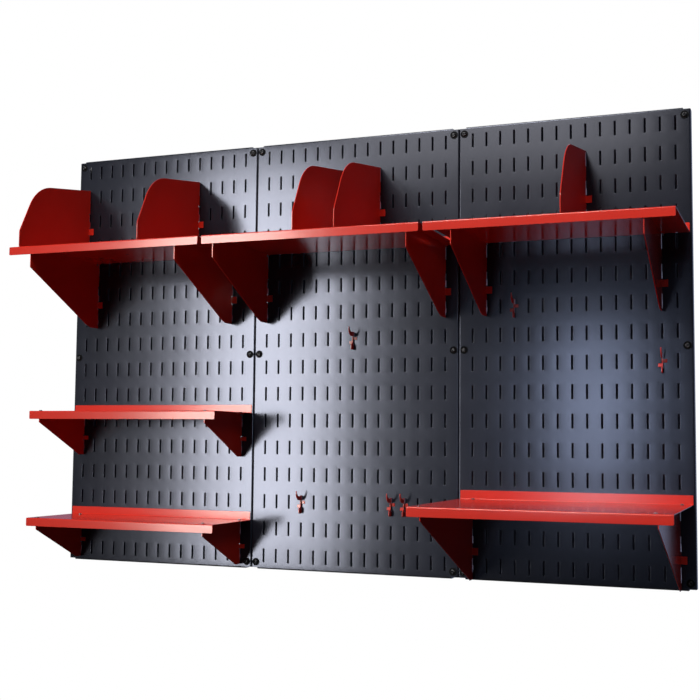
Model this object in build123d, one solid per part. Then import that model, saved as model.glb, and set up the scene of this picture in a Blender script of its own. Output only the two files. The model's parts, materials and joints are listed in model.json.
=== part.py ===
from build123d import *
import os
from dataclasses import dataclass
from math import radians, tan

# Wall storage unit: three slotted steel panels side by side, screwed to a wall, which carry
# shelves on pairs of brackets, upright shelf dividers and small hooks, all hung in the slots.
#
# Millimetres, X to the right, Y into the wall, Z up. The origin is on the wall plane behind the
# middle of the centre panel, so only the wall screws reach past Y = 0.

INCH = 25.4

# --- Panels: one sheet folded back along its four sides and punched with upright slots
PANEL_WIDTH = 16 * INCH
PANEL_HEIGHT = 32 * INCH
STAND_OFF = 0.75 * INCH          # from the wall to the front face
PANEL_SHEET = 0.9
PANEL_BEND = 2.6                 # outer radius of the folds
CORNER_EAR = 15.0                # flat stretch at a corner, past the top and bottom folds
SLOT_PITCH_X = 1.0 * INCH
SLOT_PITCH_Z = 2.0 * INCH
SLOT_WIDTH = 0.125 * INCH
SLOT_HEIGHT = 1.0 * INCH
SIDE_MARGIN = 20.0               # least distance from a side of a panel to the middle of a slot

# --- Wall screws, three up each side of a panel, each with a flat washer
SCREW_INSET_X = 9.8
SCREW_INSET_Z = 12.7
SCREW_DIAMETER = 4.2
SCREW_NECK_DIAMETER = 3.8        # of the plain neck through the washer and the panel
SCREW_NECK_SPARE = 1.0           # length of neck behind the panel
SCREW_BITE = 25.0                # length that goes into the wall
SCREW_POINT = 6.0
SCREW_HEAD_DIAMETER = 8.2
SCREW_HEAD_HEIGHT = 2.8
SCREW_HOLE_CLEARANCE = 0.4       # on the diameter
WASHER_DIAMETER = 14.0
WASHER_SHEET = 1.2
WASHER_CLEARANCE = 0.8           # on the diameter

# --- Plates that hang in the slots: brackets, dividers and hooks
PLATE_SHEET = 1.5
PLATE_BEND = 2.0                 # outer radius of the small folds
PAINT_GAP = 0.1                  # between the panels and what bears on them
EAR_REACH = 11.5                 # from the far side of the plate to the tip of the ear
EAR_HEIGHT = 12.7
RELIEF_WIDTH = 1.5               # saw-cut beside a fold
RELIEF_DEPTH = 3.0
LIFT_ANGLE = 60.0                # slope of the barbs, and of the way off the panel
BARB_DROP = 4.0                  # reach below the slot, behind the panel
BARB_LAND = 1.8                  # flat at the tip
BARB_GAP = 0.3                   # behind the panel
NECK_HEIGHT = 12.0               # of the neck that rests in the slot
NECK_CHAMFER = 2.0
STUB_REACH = 3.0                 # of the locating stub, behind the panel
STUB_HEIGHT = 8.0
STUB_RISE = 5.0                  # from the bottom of the slot
UPPER_EAR_RISE = 3.0             # from the middle of the slot to the left-hand ear

# --- Shelf decks: lip folded down at the front, flange folded up at the back
DECK_SIDE_GAP = 7.4              # between the decks of neighbouring panels
DECK_SHEET = 1.2
DECK_BEND = 2.0
DECK_RISE = 1.8                  # deck top above the top of the slots it is level with
LIP_HEIGHT = 15.5
LIP_CORNER = 2.5
FLANGE_HEIGHT = 15.5
FLANGE_CORNER = 1.2

# --- Lugs folded off the top of each bracket, and the screws through the deck into them
LUG_REACH = 8.5
LUG_LENGTH = 12.0
LUG_END_GAP = 4.0
NOSE_GAP = 0.8                   # between the lip and the bracket
DECK_SCREW_DIAMETER = 3.0
DECK_SCREW_LENGTH = 7.5
DECK_SCREW_POINT = 1.5
DECK_SCREW_HEAD_DIAMETER = 6.4
DECK_SCREW_HEAD_HEIGHT = 2.0
DECK_SCREW_CLEARANCE = 0.3       # on the diameter


@dataclass(frozen=True)
class ShelfSize:
    """Sizes of a shelf and its brackets."""

    depth: float                 # from the panel to the front of the lip
    nose: float                  # from the deck top to the foot of the bracket's upright nose
    heel: float                  # from the foot of the locating stub to the bottom of the bracket
    heel_flat: float             # level stretch at the bottom
    heel_cut: tuple              # cut corner beside it, along Y and Z
    hook_rows_down: int          # from the deck's row of slots to the barb
    ear_drop: float              # from the bottom of the barb's slot to the right-hand ear
    ear_height: float
    upper_ear: bool              # a left-hand ear above the barb


SHALLOW = ShelfSize(6 * INCH, 21.5, 10.5, 15.5, (8.5, 4.0), 0, 19.0, 7.6, False)
MEDIUM = ShelfSize(9 * INCH, 39.5, 9.2, 26.5, (15.0, 5.0), 1, 1.8, EAR_HEIGHT, True)
DEEP = ShelfSize(12 * INCH, 21.5, 17.2, 16.0, (8.5, 4.0), 1, 7.4, EAR_HEIGHT, True)

# --- Dividers, as deep as their shelf, which stand just clear of its deck
DIVIDER_HEIGHT = 6 * INCH        # at the back edge
DIVIDER_FRONT_HEIGHT = 30.5      # of the short upright front edge
DIVIDER_LEAN = 62.0              # slope of the front edge above it
DIVIDER_TOP_SLOPE = 9.0          # rise of the top edge towards the wall
DIVIDER_ROUNDING = 90.0          # between those two edges
DIVIDER_FRONT_ROUNDING = 8.0
DIVIDER_FOOT_GAP = 0.3
DIVIDER_FLANGE_GAP = 1.0         # round the flange of the deck
DIVIDER_HOOK_ROWS_UP = 2         # from the deck's row of slots to the barb
DIVIDER_EAR_DROP = 1.8

# --- Hooks: (Y from the panel, Z from the middle of the slot)
HOOK_SHANK = 4.8                 # depth of the upright shank
HOOK_TIP_INNER = (-23.2, 21.3)
HOOK_TIP_OUTER = (-24.6, 20.4)
HOOK_CRADLE = (-14.5, 12.2)      # on the inner curve
HOOK_BELLY = (-20.5, 8.2)        # on the outer curve
HOOK_ARM_FOOT = 4.5              # Z where the outer curve meets the shank
HOOK_FLARE = -8.5                # Z where the shank starts to widen
HOOK_FOOT = (-11.5, -11.5)
HOOK_FOOT_CHAMFER = 2.0
HOOK_BOTTOM = -20.8
HOOK_GAP = 0.4                   # above the neck, and behind the panel
HOOK_NECK_BOTTOM = 3.6
HOOK_BARB_RISE = 4.0             # above the slot, behind the panel
HOOK_BARB_SHEET = 1.8
HOOK_BARB_CHAMFER = 0.8
HOOK_EAR_REACH = 8.2
HOOK_EAR_HEIGHT = 5.6
HOOK_EAR_TOPS = {1: 2.8, -1: -4.4}   # side that an ear is folded to: Z of its top
HOOK_RELIEF_WIDTH = 0.8
HOOK_RELIEF_DEPTH = 2.6

# --- Where everything hangs. Columns count from the middle of a panel, rows up from the lowest.
OUTER = int((PANEL_WIDTH / 2 - SIDE_MARGIN) / SLOT_PITCH_X)      # outermost column
SLOT_COLUMNS = 2 * OUTER + 1
SLOT_ROWS = int(PANEL_HEIGHT / SLOT_PITCH_Z + 0.01)
PANELS = {"left": -1, "centre": 0, "right": 1}
# shelf: (panel, size, row, columns of its brackets, columns of its dividers)
SHELVES = {
    "top_left": ("left", MEDIUM, SLOT_ROWS - 5, (1 - OUTER, OUTER - 1), (-OUTER, 3)),
    "top_centre": ("centre", MEDIUM, SLOT_ROWS - 5, (-OUTER, OUTER), (-1, 2)),
    "top_right": ("right", MEDIUM, SLOT_ROWS - 5, (1 - OUTER, OUTER - 1), (1,)),
    "middle_left": ("left", SHALLOW, 5, (-OUTER, OUTER), ()),
    "bottom_left": ("left", SHALLOW, 1, (-OUTER, OUTER), ()),
    "bottom_right": ("right", DEEP, 2, (-OUTER, OUTER), ()),
}
# hook: (panel, column, row)
HOOKS = {
    "centre_upper_hook": ("centre", 0, SLOT_ROWS - 8),
    "centre_lower_hook_1": ("centre", -4, 2),
    "centre_lower_hook_2": ("centre", 3, 2),
    "centre_lower_hook_3": ("centre", 4, 2),
    "right_upper_hook": ("right", -4, SLOT_ROWS - 7),
    "right_lower_hook": ("right", OUTER - 1, SLOT_ROWS - 9),
}

# --- Places worked out from the sizes above
FACE = -STAND_OFF                # front face of the panels
BACK_EDGE = FACE - PAINT_GAP     # back edge of whatever bears on the panels
DECK_WIDTH = PANEL_WIDTH - DECK_SIDE_GAP
HALF_PLATE = PLATE_SHEET / 2
RELIEF = (RELIEF_WIDTH, RELIEF_DEPTH)
HOOK_RELIEF = (HOOK_RELIEF_WIDTH, HOOK_RELIEF_DEPTH)


def column_x(panel, column):
    """Middle of a column of slots."""
    return PANELS[panel] * PANEL_WIDTH + column * SLOT_PITCH_X


def row_z(row):
    """Middle of a row of slots."""
    return (row - (SLOT_ROWS - 1) / 2) * SLOT_PITCH_Z


def slot_bottom(row):
    """Lower end of the slots in a row."""
    return row_z(row) - SLOT_HEIGHT / 2


def deck_top(row):
    """Top of a deck that is level with a row of slots."""
    return row_z(row) + SLOT_HEIGHT / 2 + DECK_RISE


# --- Shapes that everything shares


def folded(points, sheet, bend):
    """Section of a folded sheet from its middle line and its outer bend radius."""
    return trace(FilletPolyline(*points, radius=bend - sheet / 2), line_width=sheet)


def plate(face, x):
    """Upright plate from its outline in the YZ plane, with the middle of its sheet at x."""
    return extrude(Plane.YZ.offset(x - HALF_PLATE) * face, PLATE_SHEET)


def outline(points):
    """Face from straight edges."""
    return make_face(Polyline(*points, close=True))


def block(x, y, z):
    """Box from its limits along each axis."""
    limits = (x, y, z)
    size = [high - low for low, high in limits]
    middle = [(high + low) / 2 for low, high in limits]
    return Pos(*middle) * Box(*size)


def pan_screw(head_diameter, head_height, diameter, length, point):
    """Pan-head screw with a cross recess, upright, the underside of its head on z = 0."""
    upwards = (Align.CENTER, Align.CENTER, Align.MIN)
    downwards = (Align.CENTER, Align.CENTER, Align.MAX)
    head = Cylinder(head_diameter / 2, head_height, align=upwards)
    head = fillet(head.edges().group_by(Axis.Z)[-1], 0.6 * head_height)
    long, short, deep = 0.55 * head_diameter, 0.13 * head_diameter, 0.55 * head_height
    recess = Box(long, short, deep) + Box(short, long, deep)
    head -= Pos(0, 0, head_height - deep / 2) * recess
    shank = Cylinder(diameter / 2, length - point, align=downwards)
    tip = Rot(180, 0, 0) * Cone(diameter / 2, diameter / 8, point, align=upwards)
    return head + shank + Pos(0, 0, point - length) * tip


# --- Panels, wall screws and washers


def panel_screw_places():
    """Six screw places of a panel, from its middle: three up each side."""
    x = PANEL_WIDTH / 2 - SCREW_INSET_X
    z = PANEL_HEIGHT / 2 - SCREW_INSET_Z
    return [(side * x, level * z) for side in (-1, 1) for level in (-1, 0, 1)]


def pan(width):
    """Section of the panel sheet folded back at both ends, its front face on y = 0."""
    side = (width - PANEL_SHEET) / 2
    front = PANEL_SHEET / 2
    points = [(-side, STAND_OFF), (-side, front), (side, front), (side, STAND_OFF)]
    return folded(points, PANEL_SHEET, PANEL_BEND)


def make_panel():
    """Slotted panel about X = 0: folded back at its sides, top and bottom, then punched."""
    upright = PANEL_HEIGHT - 2 * PANEL_BEND
    across = PANEL_WIDTH - 2 * CORNER_EAR
    sides = Pos(0, FACE, -upright / 2) * extrude(pan(PANEL_WIDTH), upright)
    turned = Plane(origin=(across / 2, FACE, 0), x_dir=(0, 0, 1), z_dir=(-1, 0, 0))
    ends = extrude(turned * pan(PANEL_HEIGHT), across)
    grid = GridLocations(SLOT_PITCH_X, SLOT_PITCH_Z, SLOT_COLUMNS, SLOT_ROWS)
    punches = Sketch() + grid * Rectangle(SLOT_WIDTH, SLOT_HEIGHT)
    screw_holes = Locations(*panel_screw_places())
    punches += screw_holes * Circle((SCREW_DIAMETER + SCREW_HOLE_CLEARANCE) / 2)
    front = Plane(origin=(0, FACE, 0), x_dir=(1, 0, 0), z_dir=(0, -1, 0))
    return sides + ends - extrude(front * punches, -PANEL_SHEET)


def make_wall_screws(x):
    """Six wall screws of a panel, as separate solids."""
    length = WASHER_SHEET + STAND_OFF + SCREW_BITE
    screw = pan_screw(SCREW_HEAD_DIAMETER, SCREW_HEAD_HEIGHT, SCREW_DIAMETER, length, SCREW_POINT)
    neck = WASHER_SHEET + PANEL_SHEET + SCREW_NECK_SPARE
    waist = Circle(SCREW_DIAMETER / 2) - Circle(SCREW_NECK_DIAMETER / 2)
    screw -= extrude(waist, -neck)
    under_head = FACE - WASHER_SHEET
    places = [Pos(x + dx, under_head, dz) for dx, dz in panel_screw_places()]
    return Compound(children=[place * Rot(90, 0, 0) * screw for place in places])


def make_washers(x):
    """Six washers of a panel, as separate solids."""
    ring = Circle(WASHER_DIAMETER / 2) - Circle((SCREW_DIAMETER + WASHER_CLEARANCE) / 2)
    washer = extrude(ring, WASHER_SHEET)
    places = [Pos(x + dx, FACE, dz) for dx, dz in panel_screw_places()]
    return Compound(children=[place * Rot(90, 0, 0) * washer for place in places])


# --- Features of the hanging plates


def folded_ear(side, reach, length):
    """Ear folded off an edge of a plate: across in x, the edge on y = 0, its length up z."""
    middle = -HALF_PLATE
    points = [(0, -PLATE_BEND - PLATE_SHEET), (0, middle), (reach - HALF_PLATE, middle)]
    ear = extrude(folded(points, PLATE_SHEET, PLATE_BEND), length)
    return ear if side > 0 else mirror(ear, Plane.YZ)


def fold_back_ear(body, x, side, top, height, reach, relief):
    """Plate with an ear folded off its back edge, between two saw-cuts."""
    width, depth = relief
    across = (x - HALF_PLATE, x + HALF_PLATE)
    bottom = top - height
    body -= block(across, (BACK_EDGE - PLATE_BEND, BACK_EDGE), (bottom, top))
    for low in (bottom - width, top):
        body -= block(across, (BACK_EDGE - depth, BACK_EDGE), (low, low + width))
    return body + Pos(x, BACK_EDGE, bottom) * folded_ear(side, reach, height)


def fold_lug(body, x, side, y, top):
    """Plate with a lug folded off its top edge, between two saw-cuts, drilled for a screw."""
    across = (x - HALF_PLATE, x + HALF_PLATE)
    low, high = y - LUG_LENGTH / 2, y + LUG_LENGTH / 2
    body -= block(across, (low, high), (top - PLATE_BEND, top))
    for start in (low - RELIEF_WIDTH, high):
        body -= block(across, (start, start + RELIEF_WIDTH), (top - RELIEF_DEPTH, top))
    edge = Plane(origin=(x, high, top), x_dir=(1, 0, 0), z_dir=(0, -1, 0))
    body += edge * folded_ear(side, LUG_REACH, LUG_LENGTH)
    drill = Cylinder((DECK_SCREW_DIAMETER + DECK_SCREW_CLEARANCE) / 2, 4 * PLATE_SHEET)
    return body - Pos(x + side * lug_middle(), y, top) * drill


def lug_middle():
    """Middle of the flat of a lug, from the middle of its plate."""
    return (PLATE_BEND + LUG_REACH) / 2 - HALF_PLATE


def barb(row):
    """Neck that rests on the bottom of a slot, with a barb down behind the panel.

    The inner face of the barb has the slope of the way off the panel, so it leaves along it.
    """
    bottom = slot_bottom(row)
    top = bottom + NECK_HEIGHT
    start = BACK_EDGE - PLATE_BEND
    behind = FACE + PANEL_SHEET + BARB_GAP
    tip = behind + BARB_DROP / tan(radians(LIFT_ANGLE))
    end = tip + BARB_LAND
    return outline([
        (start, bottom),
        (behind, bottom),
        (tip, bottom - BARB_DROP),
        (end, bottom - BARB_DROP),
        (end, top - NECK_CHAMFER),
        (end - NECK_CHAMFER, top),
        (start, top),
    ])


def stub(row):
    """Short straight stub that locates the foot of a plate in a slot."""
    start, end = BACK_EDGE - PLATE_BEND, FACE + PANEL_SHEET + STUB_REACH
    low = slot_bottom(row) + STUB_RISE
    high = low + STUB_HEIGHT
    return outline([(start, low), (end, low), (end, high), (start, high)])


def hang(body, x, row, ear_drop, ear_height, upper_ear):
    """Plate with a barb in one row of slots, a stub in the row below, and its folded ears."""
    body += plate(barb(row), x) + plate(stub(row - 1), x)
    body = fold_back_ear(body, x, 1, slot_bottom(row) - ear_drop, ear_height, EAR_REACH, RELIEF)
    if upper_ear:
        top = row_z(row) + UPPER_EAR_RISE + EAR_HEIGHT
        body = fold_back_ear(body, x, -1, top, EAR_HEIGHT, EAR_REACH, RELIEF)
    return body


# --- Shelves


def lug_places(size):
    """Lugs of a bracket: the side each is folded to, and the Y of its middle."""
    inset = LUG_END_GAP + LUG_LENGTH / 2
    front = FACE - size.depth + DECK_SHEET + NOSE_GAP + inset
    back = BACK_EDGE - DECK_BEND - inset
    return [(-1, front), (1, back)]


def deck_screw_places(shelf):
    """X and Y of the screws of a deck: one through each lug of its brackets."""
    panel, size, _, columns, _ = SHELVES[shelf]
    places = []
    for column in columns:
        for side, y in lug_places(size):
            places.append((column_x(panel, column) + side * lug_middle(), y))
    return places


def make_deck(shelf):
    """Shelf deck with its lip, its flange and its screw holes."""
    panel, size, row, _, _ = SHELVES[shelf]
    half = DECK_SHEET / 2
    top = deck_top(row)
    front = FACE - size.depth + half
    back = BACK_EDGE - half
    middle = top - half
    points = [(front, top - LIP_HEIGHT), (front, middle), (back, middle), (back, top + FLANGE_HEIGHT)]
    section = folded(points, DECK_SHEET, DECK_BEND)
    start = Plane.YZ.offset(column_x(panel, 0) - DECK_WIDTH / 2)
    deck = extrude(start * section, DECK_WIDTH)
    deck = fillet(deck.edges().filter_by(Axis.Y).group_by(Axis.Z)[0], LIP_CORNER)
    deck = fillet(deck.edges().filter_by(Axis.Y).group_by(Axis.Z)[-1], FLANGE_CORNER)
    drill = Cylinder((DECK_SCREW_DIAMETER + DECK_SCREW_CLEARANCE) / 2, 4 * DECK_SHEET)
    return deck - [Pos(x, y, top) * drill for x, y in deck_screw_places(shelf)]


def make_bracket(shelf, column):
    """Shelf bracket: a plate tapering to the wall, with two lugs under the deck."""
    panel, size, row, _, _ = SHELVES[shelf]
    x = column_x(panel, column)
    deck = deck_top(row)
    top = deck - DECK_SHEET
    nose = FACE - size.depth + DECK_SHEET + NOSE_GAP
    hook_row = row - size.hook_rows_down
    heel = slot_bottom(hook_row - 1) + STUB_RISE - size.heel
    flat = BACK_EDGE - size.heel_flat
    cut_y, cut_z = size.heel_cut
    profile = outline([
        (BACK_EDGE, top),
        (nose, top),
        (nose, deck - size.nose),
        (flat - cut_y, heel + cut_z),
        (flat, heel),
        (BACK_EDGE, heel),
    ])
    body = plate(profile, x)
    for side, y in lug_places(size):
        body = fold_lug(body, x, side, y, top)
    return hang(body, x, hook_row, size.ear_drop, size.ear_height, size.upper_ear)


def make_deck_screws(shelf):
    """Screws of a deck, as separate solids."""
    screw = pan_screw(
        DECK_SCREW_HEAD_DIAMETER,
        DECK_SCREW_HEAD_HEIGHT,
        DECK_SCREW_DIAMETER,
        DECK_SCREW_LENGTH,
        DECK_SCREW_POINT,
    )
    top = deck_top(SHELVES[shelf][2])
    return Compound(children=[Pos(x, y, top) * screw for x, y in deck_screw_places(shelf)])


def make_divider(shelf, column):
    """Divider: an upright plate with a large front rounding, stepped round the deck's flange."""
    panel, size, row, _, _ = SHELVES[shelf]
    x = column_x(panel, column)
    deck = deck_top(row)
    foot = deck + DIVIDER_FOOT_GAP
    step = (BACK_EDGE - DECK_SHEET - DIVIDER_FLANGE_GAP, deck + FLANGE_HEIGHT + DIVIDER_FLANGE_GAP)
    front, front_top = FACE - size.depth, deck + DIVIDER_FRONT_HEIGHT
    back_top = deck + DIVIDER_HEIGHT
    lean, slope = tan(radians(DIVIDER_LEAN)), tan(radians(DIVIDER_TOP_SLOPE))
    # The leaning front edge and the sloping top edge meet in the corner that is rounded.
    run = (back_top - front_top - slope * (BACK_EDGE - front)) / (lean - slope)
    corner = (front + run, front_top + lean * run)
    profile = outline([
        (BACK_EDGE, step[1]),
        step,
        (step[0], foot),
        (front, foot),
        (front, front_top),
        corner,
        (BACK_EDGE, back_top),
    ])
    for point, radius in ((corner, DIVIDER_ROUNDING), ((front, front_top), DIVIDER_FRONT_ROUNDING)):
        profile = fillet(profile.vertices().sort_by_distance(point)[0], radius)
    body = plate(profile, x)
    return hang(body, x, row + DIVIDER_HOOK_ROWS_UP, DIVIDER_EAR_DROP, EAR_HEIGHT, True)


# --- Hooks


def hook_side():
    """Outline of a hook: upturned arm, upright shank and wider foot."""
    top = SLOT_HEIGHT / 2 - HOOK_GAP
    foot_y, foot_top = HOOK_FOOT
    arm = Line((-PAINT_GAP, top), (-HOOK_SHANK, top))
    arm += ThreePointArc((-HOOK_SHANK, top), HOOK_CRADLE, HOOK_TIP_INNER)
    arm += Line(HOOK_TIP_INNER, HOOK_TIP_OUTER)
    arm += ThreePointArc(HOOK_TIP_OUTER, HOOK_BELLY, (-HOOK_SHANK, HOOK_ARM_FOOT))
    arm += Polyline(
        (-HOOK_SHANK, HOOK_ARM_FOOT),
        (-HOOK_SHANK, HOOK_FLARE),
        HOOK_FOOT,
        (foot_y, HOOK_BOTTOM + HOOK_FOOT_CHAMFER),
        (foot_y + HOOK_FOOT_CHAMFER, HOOK_BOTTOM),
        (-PAINT_GAP, HOOK_BOTTOM),
        (-PAINT_GAP, top),
    )
    return make_face(arm)


def hook_barb():
    """Neck through the slot with a barb up behind the panel."""
    top = SLOT_HEIGHT / 2 - HOOK_GAP
    front = PANEL_SHEET + HOOK_GAP
    back = front + HOOK_BARB_SHEET
    rise = SLOT_HEIGHT / 2 + HOOK_BARB_RISE
    return outline([
        (-PAINT_GAP - HOOK_BARB_SHEET, HOOK_NECK_BOTTOM),
        (back, HOOK_NECK_BOTTOM),
        (back, rise - HOOK_BARB_CHAMFER),
        (back - HOOK_BARB_CHAMFER, rise),
        (front, rise),
        (front, top),
        (-PAINT_GAP - HOOK_BARB_SHEET, top),
    ])


def make_hook(panel, column, row):
    """Hook in a slot, with an ear folded to each side that bears beside the slot."""
    x, z = column_x(panel, column), row_z(row)
    body = Pos(0, FACE, z) * (plate(hook_side(), x) + plate(hook_barb(), x))
    for side, top in HOOK_EAR_TOPS.items():
        body = fold_back_ear(body, x, side, z + top, HOOK_EAR_HEIGHT, HOOK_EAR_REACH, HOOK_RELIEF)
    return body


# --- Nodes


def make_nodes():
    """Every node by name."""
    nodes = {}
    panel = make_panel()
    for name in PANELS:
        x = column_x(name, 0)
        nodes[f"{name}_panel"] = Pos(x, 0, 0) * panel
        nodes[f"{name}_wall_screws"] = make_wall_screws(x)
        nodes[f"{name}_screw_washers"] = make_washers(x)
    for shelf, (_, _, _, brackets, dividers) in SHELVES.items():
        nodes[f"{shelf}_shelf_deck"] = make_deck(shelf)
        nodes[f"{shelf}_shelf_screws"] = make_deck_screws(shelf)
        for side, column in zip(("left", "right"), brackets):
            nodes[f"{shelf}_{side}_bracket"] = make_bracket(shelf, column)
        for number, column in enumerate(dividers, start=1):
            nodes[f"{shelf}_divider_{number}"] = make_divider(shelf, column)
    for name, place in HOOKS.items():
        nodes[name] = make_hook(*place)
    return nodes


def main():
    """Write one STEP file for each node."""
    os.makedirs("parts", exist_ok=True)
    for name, shape in make_nodes().items():
        export_step(shape, f"parts/{name}.step")


main()
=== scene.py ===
"""Looks of a wall storage unit: three slotted black steel panels screwed to a wall, with red
shelves on brackets, shelf dividers and small hooks that hang in the slots.

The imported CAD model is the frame. The panels, shelf decks, screws and washers are made here as
numpy surfaces and replace their plain CAD nodes. Brackets, dividers and hooks keep their CAD
shape, with their cut edges rounded as a powder coat rounds them. Everything is in metres, with X
to the right, Y into the wall and Z up.
"""

import json
import logging
import math
from dataclasses import dataclass
from enum import Enum

import bmesh
import bpy
import numpy as np
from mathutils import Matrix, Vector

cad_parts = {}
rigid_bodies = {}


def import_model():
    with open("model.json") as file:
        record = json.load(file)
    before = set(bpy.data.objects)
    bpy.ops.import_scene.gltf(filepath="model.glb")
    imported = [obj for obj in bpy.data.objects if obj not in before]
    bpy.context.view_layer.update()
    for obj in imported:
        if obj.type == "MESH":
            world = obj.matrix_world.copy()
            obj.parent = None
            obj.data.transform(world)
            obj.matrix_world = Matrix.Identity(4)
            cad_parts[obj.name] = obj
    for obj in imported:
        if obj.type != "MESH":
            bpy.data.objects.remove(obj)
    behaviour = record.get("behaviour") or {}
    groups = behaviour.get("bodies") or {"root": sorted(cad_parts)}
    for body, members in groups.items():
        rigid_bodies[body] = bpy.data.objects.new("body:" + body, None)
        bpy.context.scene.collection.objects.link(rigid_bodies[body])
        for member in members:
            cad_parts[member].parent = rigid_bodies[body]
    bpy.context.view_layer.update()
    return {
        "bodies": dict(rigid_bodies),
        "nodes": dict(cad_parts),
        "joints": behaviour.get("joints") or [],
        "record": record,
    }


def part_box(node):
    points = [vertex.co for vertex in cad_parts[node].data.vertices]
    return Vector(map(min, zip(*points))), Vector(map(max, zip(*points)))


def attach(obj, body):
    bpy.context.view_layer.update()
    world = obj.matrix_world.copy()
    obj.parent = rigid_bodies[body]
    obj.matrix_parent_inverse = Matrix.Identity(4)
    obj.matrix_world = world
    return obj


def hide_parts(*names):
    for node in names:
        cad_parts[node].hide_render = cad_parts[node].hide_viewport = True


log = logging.getLogger("wall_storage")

MM = 0.001
MERGE_DISTANCE = 1e-6             # vertices of a CAD mesh this close become one
LATTICE_CELLS = 1e6               # cells to the metre; new vertices that share a cell become one
WELD_DISTANCE = 3e-6              # and so do those that a cell's edge kept apart
FLAT_WITHIN = math.radians(0.6)   # faces that meet flatter than this are merged
ROUNDED_FROM = math.radians(40)   # edges that turn more than this are rounded
CREASED_FROM = math.radians(55)   # and these are shaded as creases
COAT_ROUNDING = 0.25 * MM         # rounding that the coat gives a cut edge
FASTENER_GAP = 10 * MM            # least gap between the fasteners of one node
FASTENER_SPIN = 2.4               # radians that each is turned on from the one before
BEND_POINTS = 7                   # points on the arc of a bend
RING_POINTS = 12                  # points round a slot, three on each corner


# --- Finishes


class Slot(Enum):
    """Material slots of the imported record."""

    BLACK_PANEL = "black_powder_coat"
    RED_STEEL = "red_powder_coat"
    BLACK_SCREW = "black_screw"
    BLACK_WASHER = "black_washer"
    DECK_SCREW = "dark_deck_screw"


class NodeTree:
    """A material's node tree, with short calls to add and join nodes."""

    def __init__(self, name: str) -> None:
        """Makes the material and finds its shader.

        Args:
            name: Name of the material.
        """
        self.material = bpy.data.materials.new(name)
        self.material.use_nodes = True
        self.tree = self.material.node_tree
        self.shader = self.tree.nodes["Principled BSDF"]
        self.place = self.add("ShaderNodeTexCoord").outputs["Object"]

    def add(self, kind: str, **values: object) -> bpy.types.Node:
        """Adds a node and sets its sockets and properties.

        Args:
            kind: Blender's name of the node type.
            **values: Socket values by name, with underscores for spaces, or node properties.

        Returns:
            The node.
        """
        node = self.tree.nodes.new(kind)
        for key, value in values.items():
            socket = key.replace("_", " ")
            if socket in node.inputs:
                node.inputs[socket].default_value = value
            else:
                setattr(node, key, value)
        return node

    def join(self, start: bpy.types.NodeSocket, end: bpy.types.NodeSocket) -> None:
        """Links an output to an input."""
        self.tree.links.new(start, end)

    def noise(self, size: float, detail: float = 2.0) -> bpy.types.NodeSocket:
        """Adds 3-D noise on object coordinates.

        Args:
            size: Rough size of one blotch, in metres.
            detail: Octaves of finer noise.

        Returns:
            The noise value's socket, about 0 to 1.
        """
        node = self.add("ShaderNodeTexNoise", Scale=1.0 / size, Detail=detail)
        self.join(self.place, node.inputs["Vector"])
        return node.outputs["Fac"]

    def span(
        self, value: bpy.types.NodeSocket, low: float, high: float, start: float, end: float
    ) -> bpy.types.NodeSocket:
        """Maps a value from one span to another, clamped.

        Args:
            value: Socket to map.
            low: Value that gives start.
            high: Value that gives end.
            start: Result at low.
            end: Result at high.

        Returns:
            The mapped value's socket.
        """
        node = self.add("ShaderNodeMapRange", From_Min=low, From_Max=high, To_Min=start, To_Max=end)
        self.join(value, node.inputs["Value"])
        return node.outputs["Result"]

    def blend(
        self, share: bpy.types.NodeSocket, first: tuple | bpy.types.NodeSocket, second: tuple
    ) -> bpy.types.NodeSocket:
        """Mixes two colours by a share of the second.

        Args:
            share: Socket from 0 to 1.
            first: Colour or colour socket at 0.
            second: Colour at 1.

        Returns:
            The mixed colour's socket.
        """
        node = self.tree.nodes.new("ShaderNodeMix")
        node.data_type = "RGBA"
        self.join(share, node.inputs["Factor"])
        if isinstance(first, tuple):
            node.inputs["A"].default_value = (*first, 1.0)
        else:
            self.join(first, node.inputs["A"])
        node.inputs["B"].default_value = (*second, 1.0)
        return node.outputs["Result"]

    def bump(
        self,
        height: bpy.types.NodeSocket,
        depth: float,
        strength: float,
        after: bpy.types.NodeSocket | None = None,
    ) -> bpy.types.NodeSocket:
        """Adds a bump.

        Args:
            height: Socket of the height, 0 to 1.
            depth: Height of 1, in metres.
            strength: How much of it shows.
            after: Normal socket that the bump adds to.

        Returns:
            The normal's socket.
        """
        node = self.add("ShaderNodeBump", Distance=depth, Strength=strength)
        self.join(height, node.inputs["Height"])
        if after is not None:
            self.join(after, node.inputs["Normal"])
        return node.outputs["Normal"]

    def clear_where(self, share: bpy.types.NodeSocket) -> None:
        """Makes the surface clear in places.

        Args:
            share: Socket that is 1 where it is clear and 0 where it isn't.
        """
        choice, clear = self.add("ShaderNodeMixShader"), self.add("ShaderNodeBsdfTransparent")
        self.join(share, choice.inputs["Fac"])
        self.join(self.shader.outputs["BSDF"], choice.inputs[1])
        self.join(clear.outputs["BSDF"], choice.inputs[2])
        self.join(choice.outputs["Shader"], self.tree.nodes["Material Output"].inputs["Surface"])


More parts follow.
